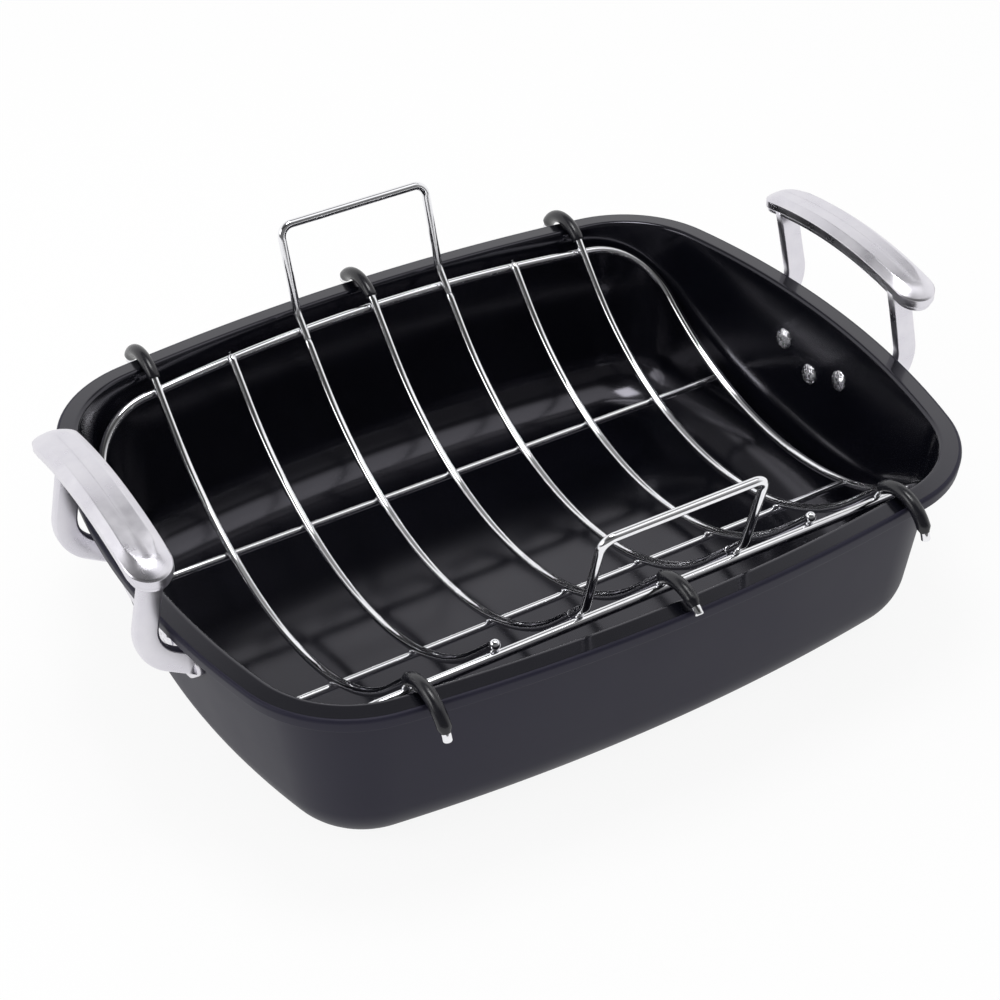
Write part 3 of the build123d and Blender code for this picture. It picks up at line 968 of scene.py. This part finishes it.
def lift_path():
    """The rear lift handle: out of wire 3, up and round two corners, and into wire 5."""
    foot, up = lift_plane()
    flank = Vector((0, math.cos(SLOPE), math.sin(SLOPE)))
    low, high = lift_bend()[1:]
    top = foot + up * LIFT_HEIGHT
    leg_stop = top - up * LIFT_CORNER

    def at(point, x):
        return point + Vector((x, 0, 0))

    leg_steps, tail_steps, bar_steps = 24, 6, 14
    tail = [at(low - flank * LIFT_TAIL * (1 - i / tail_steps), -PITCH) for i in range(tail_steps + 1)]
    bend = arc_points(at(low, -PITCH), flank, at(high, -PITCH), BEND_STEP)
    rise = [at(high.lerp(leg_stop, i / leg_steps), -PITCH) for i in range(leg_steps + 1)]
    corner = arc_points(rise[-1], up, at(top, -PITCH + LIFT_CORNER), BEND_STEP)
    bar = [at(top, (-PITCH + LIFT_CORNER) * (1 - i / bar_steps)) for i in range(bar_steps + 1)]
    half = joined(tail, bend, rise, corner, bar)
    return joined(half, flip(half, x=-1)[::-1])


def lift_handles():
    path = lift_path()
    for side, place in ((1, "rear"), (-1, "front")):
        shell = Shell()
        wire(shell, flip(path, y=side), LIFT_WIRE, JOINT_EDGE)
        rack_piece(f"lifting_bail_{place}", shell, f"lift_handle_{place}")


def weld(shell, middle, normal, seed):
    """A small flattened nugget of weld metal between two wires."""
    along = Vector((1, 0, 0))
    across = normal.cross(along).normalized()
    long, wide, thick = WELD_SIZE
    rings = []
    steps, sides = 8, 14
    for i in range(steps + 1):
        angle = math.pi * i / steps
        ring = []
        for j in range(sides):
            turn = 2 * math.pi * j / sides
            p = along * math.sin(angle) * math.cos(turn) * long
            p += across * math.sin(angle) * math.sin(turn) * wide
            p += normal * math.cos(angle) * thick
            bulge = 1 + WELD_UNEVENNESS * noise.noise(p * 0.9 + Vector((seed, 0, 0)))
            ring.append(middle + p * bulge)
        rings.append(ring)
    shell.rings(rings, caps=True)


def welds():
    """Nuggets where the cradle wires cross the rails and the long wires."""
    shell = Shell()
    seed = 0
    for number in range(1, 8):
        x = cradle_x(number)
        for run in (rail_run(x), LONG_WIRE_REACH):
            for side in (-1, 1):
                seed += 1.7
                middle = on_rack(x, side * run, CRADLE_WIRE / 2)
                inner = on_rack(x, side * run, 0)
                weld(shell, middle, (middle - inner).normalized(), seed)
    add_piece("weld_nuggets", shell.mesh("weld_nuggets"), "rack", [CHROME])


pan_body()
end_handle(1, "cast_handle_right", "handle_right")
end_handle(-1, "cast_handle_left", "handle_left")
rivets(1, "set_rivets_right", "rivets_right")
rivets(-1, "set_rivets_left", "rivets_left")
cradle_wires()
sleeves()
perimeter()
long_wires()
lift_handles()
welds()


# Floor, light and camera

CAMERA_BACK = (-0.3978, -0.6865, 0.6088)
CAMERA_TARGET = (-4.2, -1.6, 61.0)
CAMERA_DISTANCE = 1099.2
CAMERA_ROLL = math.radians(-1.11)
SENSOR_WIDTH = 36.0
LENS = 79.64


def math_node(nodes, links, operation, first, second):
    node = nodes.new("ShaderNodeMath")
    node.operation = operation
    links.new(first, node.inputs[0])
    links.new(second, node.inputs[1])
    return node.outputs["Value"]


def seen_directly(nodes, links):
    """One for camera rays and reflected rays, and nothing for the light that falls on things."""
    path = nodes.new("ShaderNodeLightPath")
    return math_node(nodes, links, "MAXIMUM", path.outputs["Is Camera Ray"], path.outputs["Is Glossy Ray"])


def facing(nodes, links, coords, way):
    """How nearly a direction of the world points the way given."""
    node = nodes.new("ShaderNodeVectorMath")
    node.operation = "DOT_PRODUCT"
    node.inputs[1].default_value = way
    links.new(coords.outputs["Generated"], node.inputs[0])
    return node.outputs["Value"]


def floor():
    """A white floor that keeps a soft shadow."""
    mesh = bpy.data.meshes.new("floor")
    corners = [(x * FLOOR_HALF, y * FLOOR_HALF, 0) for x, y in ((-1, -1), (1, -1), (1, 1), (-1, 1))]
    mesh.from_pydata(corners, [], [(0, 1, 2, 3)])
    plane = bpy.data.objects.new("floor", mesh)
    bpy.context.scene.collection.objects.link(plane)
    material, nodes, links, shader = new_material("floor_white")
    shader.inputs["Base Color"].default_value = (0.93, 0.93, 0.93, 1)
    shader.inputs["Roughness"].default_value = 0.9
    shader.inputs["Specular IOR Level"].default_value = 0.1
    glow = nodes.new("ShaderNodeEmission")
    glow.inputs["Color"].default_value = (1, 1, 1, 1)
    glow.inputs["Strength"].default_value = 1.0
    share = nodes.new("ShaderNodeMath")
    share.operation = "MULTIPLY"
    share.inputs[1].default_value = FLOOR_WHITE_SHARE
    links.new(seen_directly(nodes, links), share.inputs[0])
    mix = nodes.new("ShaderNodeMixShader")
    links.new(share.outputs["Value"], mix.inputs["Fac"])
    links.new(shader.outputs["BSDF"], mix.inputs[1])
    links.new(glow.outputs["Emission"], mix.inputs[2])
    links.new(mix.outputs["Shader"], nodes["Material Output"].inputs["Surface"])
    mesh.materials.append(material)
    plane.location.z = -FLOOR_DROP


def world():
    """White to the camera, and to gloss a bright backdrop behind the pan under a darker ceiling."""
    scene_world = bpy.data.worlds.new("studio")
    bpy.context.scene.world = scene_world
    scene_world.use_nodes = True
    nodes, links = scene_world.node_tree.nodes, scene_world.node_tree.links
    nodes.clear()
    output = nodes.new("ShaderNodeOutputWorld")
    background = nodes.new("ShaderNodeBackground")
    coords = nodes.new("ShaderNodeTexCoord")
    split = nodes.new("ShaderNodeSeparateXYZ")
    links.new(coords.outputs["Generated"], split.inputs["Vector"])
    ceiling = value_ramp(nodes, links, split.outputs["Z"], 1.0, CEILING, *BACKDROP_EDGE)
    # Darker on the camera's side of the room
    away = facing(nodes, links, coords, BACKDROP_WAY)
    room = value_ramp(nodes, links, away, CAMERA_SIDE, 1.0, *BACKDROP_SIDE_EDGE)
    both = math_node(nodes, links, "MULTIPLY", ceiling, room)
    # A soft box overhead, on the right
    overhead = facing(nodes, links, coords, Vector(SOFTBOX_WAY).normalized())
    box = value_ramp(nodes, links, overhead, 0.0, SOFTBOX_GAIN, *SOFTBOX_EDGE)
    total = math_node(nodes, links, "ADD", both, box)
    path = nodes.new("ShaderNodeLightPath")
    fill = nodes.new("ShaderNodeMix")
    links.new(path.outputs["Is Glossy Ray"], fill.inputs["Factor"])
    fill.inputs["A"].default_value = FILL
    links.new(total, fill.inputs["B"])
    mix = nodes.new("ShaderNodeMix")
    links.new(path.outputs["Is Camera Ray"], mix.inputs["Factor"])
    links.new(fill.outputs["Result"], mix.inputs["A"])
    mix.inputs["B"].default_value = 1.0
    background.inputs["Color"].default_value = (1, 1, 1, 1)
    links.new(mix.outputs["Result"], background.inputs["Strength"])
    links.new(background.outputs["Background"], output.inputs["Surface"])


def area_light(name, place, target, size, power):
    data = bpy.data.lights.new(name, "AREA")
    data.shape = "RECTANGLE"
    data.size, data.size_y = size
    data.energy = power
    light = bpy.data.objects.new(name, data)
    light.location = place
    light.rotation_euler = (Vector(target) - Vector(place)).to_track_quat("-Z", "Y").to_euler()
    bpy.context.scene.collection.objects.link(light)


def camera():
    """The photograph's view, from matching the pan's rims, base and wires."""
    data = bpy.data.cameras.new("camera")
    data.sensor_width = SENSOR_WIDTH
    data.lens = LENS
    data.clip_start = 0.01
    back = Vector(CAMERA_BACK).normalized()
    target = Vector(CAMERA_TARGET) * MM
    view = bpy.data.objects.new("camera", data)
    view.location = target + back * CAMERA_DISTANCE * MM
    right = Vector((0, 0, 1)).cross(back).normalized()
    up = back.cross(right)
    rolled_right = right * math.cos(CAMERA_ROLL) + up * math.sin(CAMERA_ROLL)
    rolled_up = up * math.cos(CAMERA_ROLL) - right * math.sin(CAMERA_ROLL)
    view.rotation_euler = Matrix((rolled_right, rolled_up, back)).transposed().to_euler()
    bpy.context.scene.collection.objects.link(view)
    bpy.context.scene.camera = view


floor()
world()
area_light("key", (0.0, 0.1, 1.5), (0, 0, 0), (0.5, 0.5), 7.0)
area_light("side", (-1.6, 0.3, 0.9), (0, 0, 0.05), (0.9, 0.7), 6.0)
camera()
bpy.context.scene.view_settings.view_transform = "Standard"
